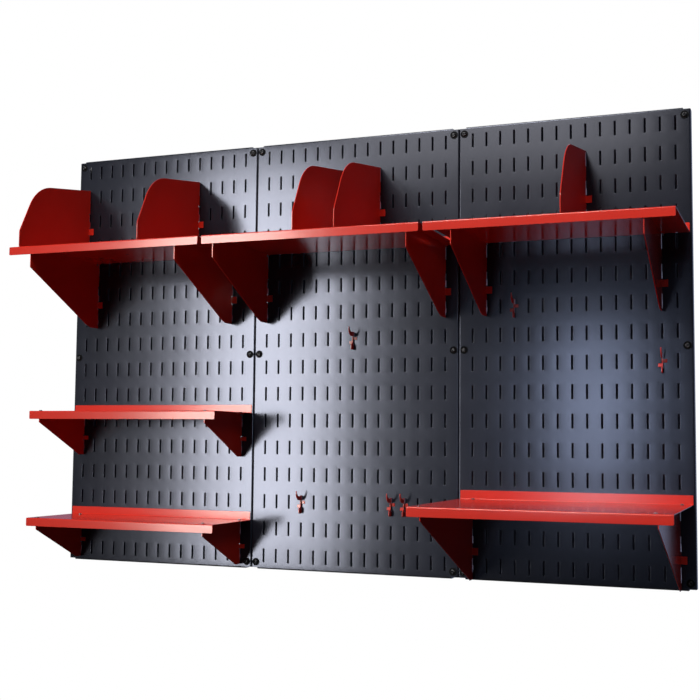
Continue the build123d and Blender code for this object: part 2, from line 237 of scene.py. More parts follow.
@dataclass(frozen=True)
class PowderCoat:
    """Baked powder coat: an orange peel with a finer grain in it, uneven gloss and faint dust."""

    name: str
    colour: tuple
    deep_colour: tuple
    dust_colour: tuple
    roughness: float
    gloss_play: float                 # most that the roughness strays either way
    peel_size: float
    peel_depth: float
    shine_tint: tuple
    ior: float = 1.5
    cloud_size: float = 70 * MM       # of the slow change from colour to deep colour
    dust_size: float = 1.1 * MM
    dust_share: float = 0.5           # how much of the dust's colour shows in a speck
    gloss_size: float = 45 * MM       # of the duller and glossier stretches
    grain_size: float = 0.35          # next to the peel's size
    grain_depth: float = 0.3          # next to the peel's depth
    peel_strength: float = 0.5
    grain_strength: float = 0.4

    def material(self) -> bpy.types.Material:
        """Builds the node material.

        Returns:
            The material.
        """
        nodes = NodeTree(self.name)
        shader = nodes.shader
        shader.inputs["IOR"].default_value = self.ior
        shader.inputs["Specular Tint"].default_value = (*self.shine_tint, 1.0)

        cloud = nodes.span(nodes.noise(self.cloud_size, 3.0), 0.35, 0.7, 0.0, 1.0)
        tone = nodes.blend(cloud, self.colour, self.deep_colour)
        dust = nodes.span(nodes.noise(self.dust_size, 1.0), 0.74, 0.80, 0.0, self.dust_share)
        nodes.join(nodes.blend(dust, tone, self.dust_colour), shader.inputs["Base Color"])

        low, high = self.roughness - self.gloss_play, self.roughness + self.gloss_play
        gloss = nodes.span(nodes.noise(self.gloss_size, 4.0), 0.3, 0.7, low, high)
        nodes.join(gloss, shader.inputs["Roughness"])

        peel = nodes.bump(nodes.noise(self.peel_size, 2.0), self.peel_depth, self.peel_strength)
        fine = nodes.noise(self.grain_size * self.peel_size, 1.0)
        grain = nodes.bump(fine, self.grain_depth * self.peel_depth, self.grain_strength, peel)
        nodes.join(grain, shader.inputs["Normal"])
        return nodes.material


@dataclass(frozen=True)
class PlatedSteel:
    """Dark plated or oxidised fastener steel, rubbed bright in places."""

    name: str
    colour: tuple
    rubbed_colour: tuple
    roughness: float
    metallic: float
    shine: float
    wear_size: float = 1.6 * MM
    gloss_size: float = 0.9 * MM
    gloss_play: tuple = (0.8, 1.25)   # least and most of the roughness
    grain_size: float = 0.4 * MM
    grain_depth: float = 0.02 * MM
    grain_strength: float = 0.5

    def material(self) -> bpy.types.Material:
        """Builds the node material.

        Returns:
            The material.
        """
        nodes = NodeTree(self.name)
        shader = nodes.shader
        shader.inputs["Metallic"].default_value = self.metallic
        shader.inputs["Specular IOR Level"].default_value = self.shine
        worn = nodes.span(nodes.noise(self.wear_size, 4.0), 0.50, 0.72, 0.0, 1.0)
        nodes.join(nodes.blend(worn, self.colour, self.rubbed_colour), shader.inputs["Base Color"])
        low, high = (share * self.roughness for share in self.gloss_play)
        gloss = nodes.span(nodes.noise(self.gloss_size, 3.0), 0.3, 0.7, low, high)
        nodes.join(gloss, shader.inputs["Roughness"])
        grain = nodes.bump(nodes.noise(self.grain_size, 2.0), self.grain_depth, self.grain_strength)
        nodes.join(grain, shader.inputs["Normal"])
        return nodes.material


BLACK_COAT = PowderCoat(
    name="black_semi_gloss_powder_coat",
    colour=(0.0055, 0.006, 0.009),
    deep_colour=(0.008, 0.009, 0.013),
    dust_colour=(0.04, 0.04, 0.045),
    roughness=0.19,
    gloss_play=0.008,
    peel_size=2.2 * MM,
    peel_depth=0.005 * MM,
    shine_tint=(0.81, 0.84, 1.0),
)
RED_COAT = PowderCoat(
    name="red_gloss_powder_coat",
    colour=(0.63, 0.026, 0.013),
    deep_colour=(0.60, 0.023, 0.011),
    dust_colour=(0.65, 0.06, 0.04),
    roughness=0.175,
    gloss_play=0.008,
    peel_size=2.6 * MM,
    peel_depth=0.002 * MM,
    shine_tint=(0.78, 0.76, 0.70),
)
BLACK_OXIDE = PlatedSteel(
    name="black_oxide_screw",
    colour=(0.006, 0.006, 0.008),
    rubbed_colour=(0.02, 0.02, 0.024),
    roughness=0.13,
    metallic=0.0,
    shine=0.35,
)
BLACK_WASHER = PlatedSteel(
    name="black_oxide_washer",
    colour=(0.004, 0.004, 0.004),
    rubbed_colour=(0.015, 0.015, 0.015),
    roughness=0.50,
    metallic=0.0,
    shine=0.03,
)
DARK_ZINC = PlatedSteel(
    name="dark_zinc_screw",
    colour=(0.16, 0.15, 0.15),
    rubbed_colour=(0.42, 0.41, 0.40),
    roughness=0.28,
    metallic=1.0,
    shine=0.5,
)

FINISHES = {
    Slot.BLACK_PANEL: BLACK_COAT,
    Slot.RED_STEEL: RED_COAT,
    Slot.BLACK_SCREW: BLACK_OXIDE,
    Slot.BLACK_WASHER: BLACK_WASHER,
    Slot.DECK_SCREW: DARK_ZINC,
}


# --- Meshes


def dress(piece: bpy.types.Object, material: bpy.types.Material) -> None:
    """Gives a piece one material, whatever it had."""
    piece.data.materials.clear()
    piece.data.materials.append(material)


def placed(name: str, data: bpy.types.ID) -> bpy.types.Object:
    """Makes an object of a mesh, light or camera and adds it to the scene.

    Args:
        name: Name of the object.
        data: The mesh, light or camera.

    Returns:
        The object, at the origin.
    """
    thing = bpy.data.objects.new(name, data)
    bpy.context.scene.collection.objects.link(thing)
    return thing


def coated_copy(node: bpy.types.Object, name: str, rounding: float) -> bpy.types.Object:
    """Copies a CAD node's mesh, merges it into clean faces and rounds its cut edges.

    Args:
        node: The CAD node's object, which is left alone.
        name: Name of the new piece.
        rounding: Width of the rounding along each edge, in metres.

    Returns:
        The new piece, with live Bevel and Weighted Normal modifiers.
    """
    work = bmesh.new()
    work.from_mesh(node.data)
    bmesh.ops.remove_doubles(work, verts=work.verts, dist=MERGE_DISTANCE)
    bmesh.ops.dissolve_limit(
        work, angle_limit=FLAT_WITHIN, verts=work.verts, edges=work.edges, delimit=set()
    )
    mesh = bpy.data.meshes.new(name)
    work.to_mesh(mesh)
    work.free()
    mesh.shade_smooth()
    piece = placed(name, mesh)
    bevel = piece.modifiers.new("rounded_edges", "BEVEL")
    bevel.width = rounding
    bevel.segments = 2
    bevel.limit_method = "ANGLE"
    bevel.angle_limit = ROUNDED_FROM
    flatten_shading(piece)
    return piece


def flatten_shading(piece: bpy.types.Object) -> None:
    """Lets large flat faces set the shading, so that only the roundings beside them curve.

    Args:
        piece: The piece, which gets a live Weighted Normal modifier.
    """
    weighted = piece.modifiers.new("flat_faces_lead", "WEIGHTED_NORMAL")
    weighted.mode = "FACE_AREA"
    weighted.weight = 100
    weighted.keep_sharp = True


@dataclass
class Shell:
    """Vertices and quads that grow as surfaces are added, then become one welded piece."""

    vertices: list
    quads: list

    def add(self, points: np.ndarray, quads: np.ndarray) -> None:
        """Adds a surface.

        Args:
            points: Its vertices, (n, 3), in metres.
            quads: Its faces as indices into points, (m, 4).
        """
        start = sum(len(group) for group in self.vertices)
        self.vertices.append(points.reshape(-1, 3))
        self.quads.append(quads + start)

    def piece(self, name: str) -> bpy.types.Object:
        """Welds the surfaces and makes the piece, with its faces pointing outwards.

        Vertices are first rounded to a fine lattice and one of each cell is kept. Those that
        were close but in two cells are then merged by their distance.

        Args:
            name: Name of the piece.

        Returns:
            The piece.
        """
        points, quads = np.concatenate(self.vertices), np.concatenate(self.quads)
        lattice = np.round(points * LATTICE_CELLS).astype(np.int64)
        _, kept, merged = np.unique(lattice, axis=0, return_index=True, return_inverse=True)
        faces = merged.reshape(-1)[quads]
        mesh = bpy.data.meshes.new(name)
        mesh.from_pydata(points[kept].tolist(), [], drop_repeats(faces))
        mesh.validate()
        work = bmesh.new()
        work.from_mesh(mesh)
        bmesh.ops.remove_doubles(work, verts=work.verts, dist=WELD_DISTANCE)
        bmesh.ops.recalc_face_normals(work, faces=work.faces)
        log.info("%s: %d open edges", name, sum(not edge.is_manifold for edge in work.edges))
        work.to_mesh(mesh)
        work.free()
        mesh.shade_smooth()
        mesh.set_sharp_from_angle(angle=CREASED_FROM)
        piece = placed(name, mesh)
        flatten_shading(piece)
        return piece


def drop_repeats(faces: np.ndarray) -> list:
    """Turns quads with a repeated corner, as at a pole, into triangles.

    Args:
        faces: Quads as vertex indices, (m, 4).

    Returns:
        Faces as lists of three or four different indices.
    """
    return [face for face in (list(dict.fromkeys(quad)) for quad in faces.tolist()) if len(face) > 2]


def grid_quads(rows: int, columns: int, closed: bool) -> np.ndarray:
    """Quads of a grid of vertices stored row by row.

    Args:
        rows: Number of rows of vertices.
        columns: Number of vertices in a row.
        closed: Whether each row joins up with its own start.

    Returns:
        Vertex indices, (quads, 4).
    """
    row, column = np.meshgrid(np.arange(rows - 1), np.arange(columns - (not closed)), indexing="ij")
    after = (column + 1) % columns
    corners = (row * columns + column, row * columns + after, (row + 1) * columns + after)
    return np.stack([*corners, (row + 1) * columns + column], axis=-1).reshape(-1, 4)


def lofted(sections: np.ndarray) -> tuple:
    """Skins a row of closed sections of a bent sheet, with both ends closed.

    Each section runs out along one face of the sheet and back along the other, so its point i
    faces its point n - 1 - i, and a row of quads between such pairs closes each end.

    Args:
        sections: Points of every section, (levels, n, 3).

    Returns:
        Vertices, (levels * n, 3), and quads.
    """
    levels, count = sections.shape[:2]
    side = np.arange(count // 2 - 1)
    cap = np.stack([side, side + 1, count - 2 - side, count - 1 - side], axis=-1)
    quads = [grid_quads(levels, count, True), cap, cap + (levels - 1) * count]
    return sections.reshape(-1, 3), np.concatenate(quads)


def carried(profile: np.ndarray, levels: np.ndarray, axes: tuple) -> tuple:
    """Carries an open strip of folded sheet along a straight line, with both ends closed.

    Args:
        profile: Points of the strip's section, (n, 2); it stays open where it starts and ends.
        levels: Places along the line.
        axes: Row-frame axes of the profile's two columns and of the line.

    Returns:
        Vertices, (n * levels, 3), and quads.
    """
    count = len(profile)
    sections = np.empty((len(levels), count, 3))
    sections[:, :, axes[0]] = profile[:, 0]
    sections[:, :, axes[1]] = profile[:, 1]
    sections[:, :, axes[2]] = levels[:, None]
    points, quads = lofted(sections)
    joins_ends = (quads % count == 0).any(axis=1) & (quads % count == count - 1).any(axis=1)
    joins_ends[(len(levels) - 1) * count :] = False
    return points, quads[~joins_ends]


def turned(profile: np.ndarray, around: int) -> tuple:
    """Turns a profile about the Z axis.

    Args:
        profile: Radius and height of each point, (n, 2).
        around: Number of vertices round the axis.

    Returns:
        Vertices, (n * around, 3), and quads.
    """
    angle = np.arange(around) * 2 * np.pi / around
    radius, height = profile[:, :1], profile[:, 1:]
    x, y = radius * np.cos(angle), radius * np.sin(angle)
    points = np.stack([x, y, np.broadcast_to(height, x.shape)], axis=-1)
    return points.reshape(-1, 3), grid_quads(len(profile), around, True)


def arc(centre: tuple, radius: float, start: float, end: float, count: int) -> np.ndarray:
    """Points of a circular arc in a plane.

    Args:
        centre: Its centre.
        radius: Its radius.
        start: Angle of its first point, in degrees.
        end: Angle of its last point, in degrees.
        count: Number of points.

    Returns:
        Points, (count, 2).
    """
    angle = np.radians(np.linspace(start, end, count))
    return np.stack([centre[0] + radius * np.cos(angle), centre[1] + radius * np.sin(angle)], axis=-1)


def solid_boxes(node: bpy.types.Object, axes: tuple) -> list:
    """Finds the boxes of the separate solids of a CAD node.

    The vertices are split wherever none lies for a stretch of FASTENER_GAP, along each axis in
    turn, until nothing splits.

    Args:
        node: The CAD node's object.
        axes: Axes along which the solids stand apart, 0 to 2.

    Returns:
        Pairs of lowest and highest corner.
    """
    points = np.empty(len(node.data.vertices) * 3)
    node.data.vertices.foreach_get("co", points)
    whole, done = [points.reshape(-1, 3)], []
    while whole:
        group = whole.pop()
        for axis in axes:
            ordered = group[np.argsort(group[:, axis])]
            breaks = np.flatnonzero(np.diff(ordered[:, axis]) > FASTENER_GAP) + 1
            if len(breaks):
                whole.extend(np.split(ordered, breaks))
                break
        else:
            done.append((group.min(axis=0), group.max(axis=0)))
    return sorted(done, key=lambda box: tuple(np.round(box[0], 4)))


# --- Panels


@dataclass
class SlottedPanel:
    """Steel panel: a face punched with upright slots, folded back along its four sides."""

    name: str
    middle: float
    width: float = 406.4 * MM
    height: float = 812.8 * MM
    stand_off: float = 19.05 * MM
    sheet: float = 0.9 * MM
    bend: float = 2.6 * MM
    columns: int = 15
    rows: int = 16
    pitch_x: float = 25.4 * MM
    pitch_z: float = 50.8 * MM
    slot_width: float = 3.175 * MM
    slot_height: float = 25.4 * MM
    slot_corner: float = 0.7 * MM
    rim: float = 0.5 * MM             # rounding that the coat gives the edge of a slot
    edge: float = 0.2 * MM            # rounding of the sheet's back edge

    def build(self) -> bpy.types.Object:
        """Makes the panel as one welded piece.

        Returns:
            The piece.
        """
        shell = Shell([], [])
        across, upright = self.cell_edges()
        self.add_cells(shell, across, upright)
        side, end = self.width / 2 - self.bend, self.height / 2 - self.bend
        levels = self.levels(upright, self.slot_height)
        for turn in (-1, 1):
            fold = self.fold(across[-1], side, self.width / 2) * (turn, 1.0)
            points, quads = carried(fold, levels, (0, 1, 2))
            shell.add(points + (self.middle, 0.0, 0.0), quads)
        levels = self.levels(across, self.slot_width)
        for turn in (-1, 1):
            fold = self.fold(end, end, self.height / 2) * (turn, 1.0)
            points, quads = carried(fold, levels, (2, 1, 0))
            shell.add(points + (self.middle, 0.0, 0.0), quads)
        return shell.piece(self.name)

    def cell_edges(self) -> tuple:
        """Edges of the cells, one round each slot, across and up the flat of the face.

        Returns:
            Places across and places up; the outermost up stop where the folds start.
        """
        across = (np.arange(self.columns + 1) - self.columns / 2) * self.pitch_x
        upright = (np.arange(self.rows + 1) - self.rows / 2) * self.pitch_z
        limit = self.height / 2 - self.bend
        return across, np.clip(upright, -limit, limit)

    def levels(self, edges: np.ndarray, slot: float) -> np.ndarray:
        """Places of all vertices along one side of the field of cells.

        Args:
            edges: Edges of the cells.
            slot: Size of a slot in that direction.

        Returns:
            The edges and both ends of each slot, in order.
        """
        pitch = edges[len(edges) // 2 + 1] - edges[len(edges) // 2]
        middles = (np.arange(len(edges) - 1) - (len(edges) - 2) / 2) * pitch
        return np.sort(np.concatenate([edges, middles - slot / 2, middles + slot / 2]))

    def add_cells(self, shell: Shell, across: np.ndarray, upright: np.ndarray) -> None:
        """Adds the face: a cell of rings of points round every slot.

        The rings step from the cell's edge on the front, over the quarter round of the slot's
        rim, through the sheet and out to the cell's edge on the back.

        Args:
            shell: Shell that takes the surface.
            across: Edges of the cells along X.
            upright: Edges of the cells along Z.
        """
        front, back = -self.stand_off, -self.stand_off + self.sheet
        bite = self.rim * (1 - math.sqrt(0.5))
        rings = [(self.rim, front), (bite, front + bite), (0.0, front + self.rim), (0.0, back)]
        x = (np.arange(self.columns) - (self.columns - 1) / 2) * self.pitch_x + self.middle
        z = (np.arange(self.rows) - (self.rows - 1) / 2) * self.pitch_z
        points = np.empty((self.columns, self.rows, len(rings) + 2, RING_POINTS, 3))
        for place, (grow, y) in enumerate(rings, start=1):
            ring = self.slot_ring(grow)
            points[:, :, place, :, 0] = x[:, None, None] + ring[:, 0]
            points[:, :, place, :, 1] = y
            points[:, :, place, :, 2] = z[None, :, None] + ring[:, 1]
        right, left = across[1:] + self.middle, across[:-1] + self.middle
        top, foot = upright[1:], upright[:-1]
        half_x, half_z = self.slot_width / 2, self.slot_height / 2
        shape = (self.columns, self.rows)
        ends, heights = {1: right, -1: left}, {1: top, -1: foot}
        for place, y in ((0, front), (len(rings) + 1, back)):
            points[:, :, place, :, 1] = y
            for quarter, (sx, sz) in enumerate(((1, 1), (-1, 1), (-1, -1), (1, -1))):
                side = (ends[sx][:, None], (z + sz * half_z)[None, :])
                corner = (ends[sx][:, None], heights[sz][None, :])
                level = ((x + sx * half_x)[:, None], heights[sz][None, :])
                order = (side, corner, level) if sx == sz else (level, corner, side)
                for step, (px, pz) in enumerate(order):
                    points[:, :, place, 3 * quarter + step, 0] = np.broadcast_to(px, shape)
                    points[:, :, place, 3 * quarter + step, 2] = np.broadcast_to(pz, shape)
        cell = grid_quads(len(rings) + 2, RING_POINTS, True)
        starts = np.arange(self.columns * self.rows) * (len(rings) + 2) * RING_POINTS
        shell.add(points.reshape(-1, 3), (cell[None] + starts[:, None, None]).reshape(-1, 4))

    def slot_ring(self, grow: float) -> np.ndarray:
        """Outline of a slot, grown outwards, as three points on each rounded corner.

        Args:
            grow: Distance outwards, in metres.

        Returns:
            Points in X and Z, (RING_POINTS, 2), counter-clockwise from the upper right.
        """
        radius, count = self.slot_corner + grow, RING_POINTS // 4
        x, z = self.slot_width / 2 - self.slot_corner, self.slot_height / 2 - self.slot_corner
        corners = enumerate(((x, z), (-x, z), (-x, -z), (x, -z)))
        return np.concatenate(
            [arc(at, radius, 90 * turn, 90 * turn + 90, count) for turn, at in corners]
        )

    def fold(self, start: float, flat_end: float, outside: float) -> np.ndarray:
        """Section of a folded side: out along the front, round the bend and back inside.

        Args:
            start: Where the strip leaves the field of cells.
            flat_end: Where the bend starts.
            outside: Place of the outer face of the folded side.

        Returns:
            Points across and in Y, (n, 2), the first and last at the start of the strip.
        """
        front, sheet = -self.stand_off, self.sheet
        centre = (outside - self.bend, front + self.bend)
        outer = arc(centre, self.bend, -90, 0, BEND_POINTS)
        inner = arc(centre, self.bend - sheet, 0, -90, BEND_POINTS)
        lip = [(outside, -self.edge), (outside - self.edge, 0.0)]
        lip += [(outside - sheet + self.edge, 0.0), (outside - sheet, -self.edge)]
        first = [(start, front)] if flat_end > start else []
        last = [(start, front + sheet)] if flat_end > start else []
        return np.array([*first, *outer, *lip, *inner, *last])


# --- Shelves


@dataclass
class FoldedDeck:
    """Shelf deck: a sheet folded down at the front as a lip and up at the back as a flange."""

    name: str
    low: np.ndarray
    high: np.ndarray
    sheet: float = 1.2 * MM
    bend: float = 2.0 * MM
    lip_height: float = 15.5 * MM
    lip_corner: float = 2.5 * MM
    flange_corner: float = 1.2 * MM
    edge: float = COAT_ROUNDING

    def build(self) -> bpy.types.Object:
        """Makes the deck as one welded piece, a section carried along its width.

        Near both ends the lip's and the flange's edges rise or fall along a quarter circle, which
        rounds their corners, and the very last section is pinched to round the cut edge.

        Returns:
            The piece.
        """
        steps = self.lip_corner * (1 - np.cos(np.radians(np.linspace(0, 90, BEND_POINTS))))
        inner = np.unique(np.round(np.concatenate([[self.edge], steps]), 7))
        width = self.high[0] - self.low[0]
        levels = np.concatenate([inner, [width / 2], width - inner[::-1]])
        from_end = np.minimum(levels, width - levels)
        section = self.section()
        section_middle = (section + section[::-1]) / 2
        points = np.empty((len(levels), len(section), 3))
        for place, (level, inside) in enumerate(zip(levels, from_end)):
            pinch = self.edge / (self.sheet / 2) * max(0.0, 1 - inside / self.edge)
            outline = section + pinch * (section_middle - section)
            outline[[0, 1, -1, -2], 1] += self.cut_back(self.lip_corner, inside)
            middle = len(section) // 2
            outline[middle - 2 : middle + 2, 1] -= self.cut_back(self.flange_corner, inside)
            points[place] = np.column_stack([np.full(len(section), self.low[0] + level), outline])
        shell = Shell([], [])
        shell.add(*lofted(points))
        return shell.piece(self.name)

    def cut_back(self, corner: float, inside: float) -> float:
        """Depth that a rounded corner takes off an edge.

        Args:
            corner: Radius of the corner.
            inside: Distance from the end of the edge.

        Returns:
            The depth, nothing further in than the radius.
        """
        across = max(0.0, corner - inside)
        return corner - math.sqrt(corner**2 - across**2)

    def section(self) -> np.ndarray:
        """Section of the deck in Y and Z, first along its upper side and then back below.

        Returns:
            Points, (n, 2); point i faces point n - 1 - i through the sheet.
        """
        (front, back), (foot, head) = (self.low[1], self.high[1]), (self.low[2], self.high[2])
        top = foot + self.lip_height
        inside, edge = self.bend - self.sheet, self.edge
        lip_bend = (front + self.bend, top - self.bend)
        flange_bend = (back - self.bend, top - self.sheet + self.bend)
        return np.array(
            [
                (front + edge, foot),
                (front, foot + edge),
                *arc(lip_bend, self.bend, 180, 90, BEND_POINTS),
                *arc(flange_bend, inside, -90, 0, BEND_POINTS),
                (back - self.sheet, head - edge),
                (back - self.sheet + edge, head),
                (back - edge, head),
                (back, head - edge),
                *arc(flange_bend, self.bend, 0, -90, BEND_POINTS),
                *arc(lip_bend, inside, 90, 180, BEND_POINTS),
                (front + self.sheet, foot + edge),
                (front + self.sheet - edge, foot),
            ]
        )


# --- Fasteners


@dataclass
class CrossScrew:
    """Pan-head screw with a cross recess and a coarse thread."""

    head_diameter: float
    head_height: float
    diameter: float
    length: float
    point: float
    neck: float
    pitch: float
    around: int = 32
    head_rings: int = 15
    steps_per_turn: int = 8
    rim_height: float = 0.35          # next to the head's height
    edge_height: float = 0.12         # of the bevel under the head's rim, next to the same
    edge_inset: float = 0.97          # radius where that bevel ends, next to the head's
    recess: float = 0.55              # depth of the cross, next to the head's height
    groove: float = 0.1125            # half the width of its grooves, next to the head's diameter
    groove_wall: float = 0.075        # width of their sloping walls, next to the same
    arm: float = 0.325                # length of the grooves from the middle, next to the same
    arm_wall: float = 0.125           # length of the slopes at their ends, next to the same
    core: float = 0.70                # radius between the threads, next to the full one
    neck_share: float = 0.94          # radius of the plain neck, next to the full one

    def surface(self) -> tuple:
        """Works out the screw, upright, with the underside of its head on z = 0.

        The head's height falls off as an ellipse from its middle to its rim, less the recess: two
        crossed grooves with sloping walls. Below a plain neck the radius is the core's plus a
        triangle wave in height less turn, which winds the thread, and it narrows to nothing over
        the point.

        Returns:
            Vertices, (n, 3), and quads.
        """
        angle = np.arange(self.around) * 2 * np.pi / self.around
        rim, across, high = self.head_diameter / 2, self.head_diameter, self.head_height
        ring = rim * np.sin(np.linspace(0.0, np.pi / 2, self.head_rings))[:, None]
        x, y = ring * np.cos(angle), ring * np.sin(angle)
        bulge = np.sqrt(np.clip(1 - (ring / rim) ** 2, 0.0, 1.0))
        dome = high * (self.rim_height + (1 - self.rim_height) * bulge) * np.ones_like(x)
        narrow, wide = np.minimum(abs(x), abs(y)) / across, np.maximum(abs(x), abs(y)) / across
        groove = np.clip((self.groove - narrow) / self.groove_wall, 0.0, 1.0)
        reach = np.clip((self.arm - wide) / self.arm_wall, 0.0, 1.0)
        dome -= self.recess * high * groove * reach
        head = np.stack([x, y, dome], axis=-1)

        edge = [(rim, self.edge_height * high), (self.edge_inset * rim, 0.0), (self.diameter / 2, 0.0)]
        under = turned(np.array(edge), self.around)[0].reshape(len(edge), self.around, 3)

        steps = int((self.length - self.neck) / self.pitch * self.steps_per_turn)
        down = np.concatenate([[0.0, self.neck], np.linspace(self.neck, self.length, steps)[1:]])
        down = down[:, None]
        wave = abs(((down / self.pitch - angle / (2 * np.pi)) % 1.0) * 2 - 1)
        share = np.where(down > self.neck, self.core + (1 - self.core) * wave, self.neck_share)
        taper = np.clip((self.length - down) / self.point, 0.0, 1.0)
        radius = self.diameter / 2 * share * taper
        x, y = radius * np.cos(angle), radius * np.sin(angle)
        shank = np.stack([x, y, np.broadcast_to(-down, x.shape)], axis=-1)

        rows = np.concatenate([head, under, shank])
        return rows.reshape(-1, 3), grid_quads(len(rows), self.around, True)


@dataclass
class FlatWasher:
    """Flat washer with its edges rounded."""

    diameter: float = 14.0 * MM
    bore: float = 5.0 * MM
    sheet: float = 1.2 * MM
    rounding: float = 0.35 * MM
    around: int = 56
    corner_points: int = 4

    def surface(self) -> tuple:
        """Works out the washer, flat on z = 0: a rounded rectangle turned about its axis.

        Returns:
            Vertices, (n, 3), and quads.
        """
        r = self.rounding
        inside, outside, top = self.bore / 2 + r, self.diameter / 2 - r, self.sheet - r
        corners = enumerate(((outside, r), (outside, top), (inside, top), (inside, r)))
        turns = [arc(at, r, 90 * n - 90, 90 * n, self.corner_points) for n, at in corners]
        profile = np.concatenate([*turns, turns[0][:1]])
        return turned(profile, self.around)


def set_out(name: str, surface: tuple, places: list, turn: np.ndarray) -> bpy.types.Object:
    """Makes one piece of a fastener at several places, each turned a little about its axis.

    Args:
        name: Name of the piece.
        surface: Vertices and quads of one fastener, upright.
        places: Where the middle of each goes.
        turn: Rotation from upright to where they point, (3, 3).

    Returns:
        The piece.
    """
    points, quads = surface
    shell = Shell([], [])
    for number, place in enumerate(places):
        cos, sin = math.cos(FASTENER_SPIN * number), math.sin(FASTENER_SPIN * number)
        about = np.array([[cos, -sin, 0.0], [sin, cos, 0.0], [0.0, 0.0, 1.0]])
        shell.add(points @ about.T @ turn.T + place, quads)
    return shell.piece(name)


UPRIGHT = np.eye(3)
OUT_OF_WALL = np.array([[1.0, 0.0, 0.0], [0.0, 0.0, -1.0], [0.0, 1.0, 0.0]])


# --- Studio


@dataclass
class Softbox:
    """Rectangular soft light aimed at a point."""

    name: str
    place: tuple
    aim: tuple
    width: float
    height: float
    watts: float
    colour: tuple
    seen_only_in_shine: bool = False

    def light(self) -> None:
        """Adds the light to the scene."""
        data = bpy.data.lights.new(self.name, "AREA")
        data.shape = "RECTANGLE"
        data.size, data.size_y = self.width, self.height
        data.energy = self.watts
        data.color = self.colour
        lamp = placed(self.name, data)
        lamp.location = self.place
        aim = np.array(self.aim) - np.array(self.place)
        yaw = math.atan2(-aim[0], aim[1])
        pitch = math.atan2(aim[2], math.hypot(aim[0], aim[1]))
        lamp.rotation_euler = (math.pi / 2 + pitch, 0.0, yaw)
        lamp.visible_camera = False
        lamp.visible_diffuse = not self.seen_only_in_shine


SOFTBOXES = (
    Softbox(
        name="tall_key",
        place=(-1.40, -2.60, 0.155),
        aim=(0.0, 0.0, 0.1),
        width=0.56,
        height=1.75,
        watts=73.0,
        colour=(1.0, 1.0, 1.0),
        seen_only_in_shine=True,
    ),
    Softbox(
        name="low_front",
        place=(0.01, -2.60, -0.02),
        aim=(0.3, 0.0, 0.0),
        width=0.28,
        height=0.60,
        watts=6.2,
        colour=(0.7, 0.8, 1.0),
        seen_only_in_shine=True,
    ),
    Softbox(
        name="high_front",
        place=(-0.40, -2.60, 1.14),
        aim=(0.0, 0.0, 0.4),
        width=1.3,
        height=0.3,
        watts=6.0,
        colour=(1.0, 0.97, 0.92),
        seen_only_in_shine=True,
    ),
    Softbox(
        name="upper_fill",
        place=(-0.9, -4.2, 3.2),
        aim=(0.0, 0.0, 0.0),
        width=1.5,
        height=1.5,
        watts=280.0,
        colour=(1.0, 1.0, 1.0),
    ),
    Softbox(
        name="overhead",
        place=(1.4, -2.2, 3.0),
        aim=(0.0, -0.1, 0.0),
        width=1.6,
        height=1.6,
        watts=26.0,
        colour=(1.0, 0.98, 0.96),
    ),
)


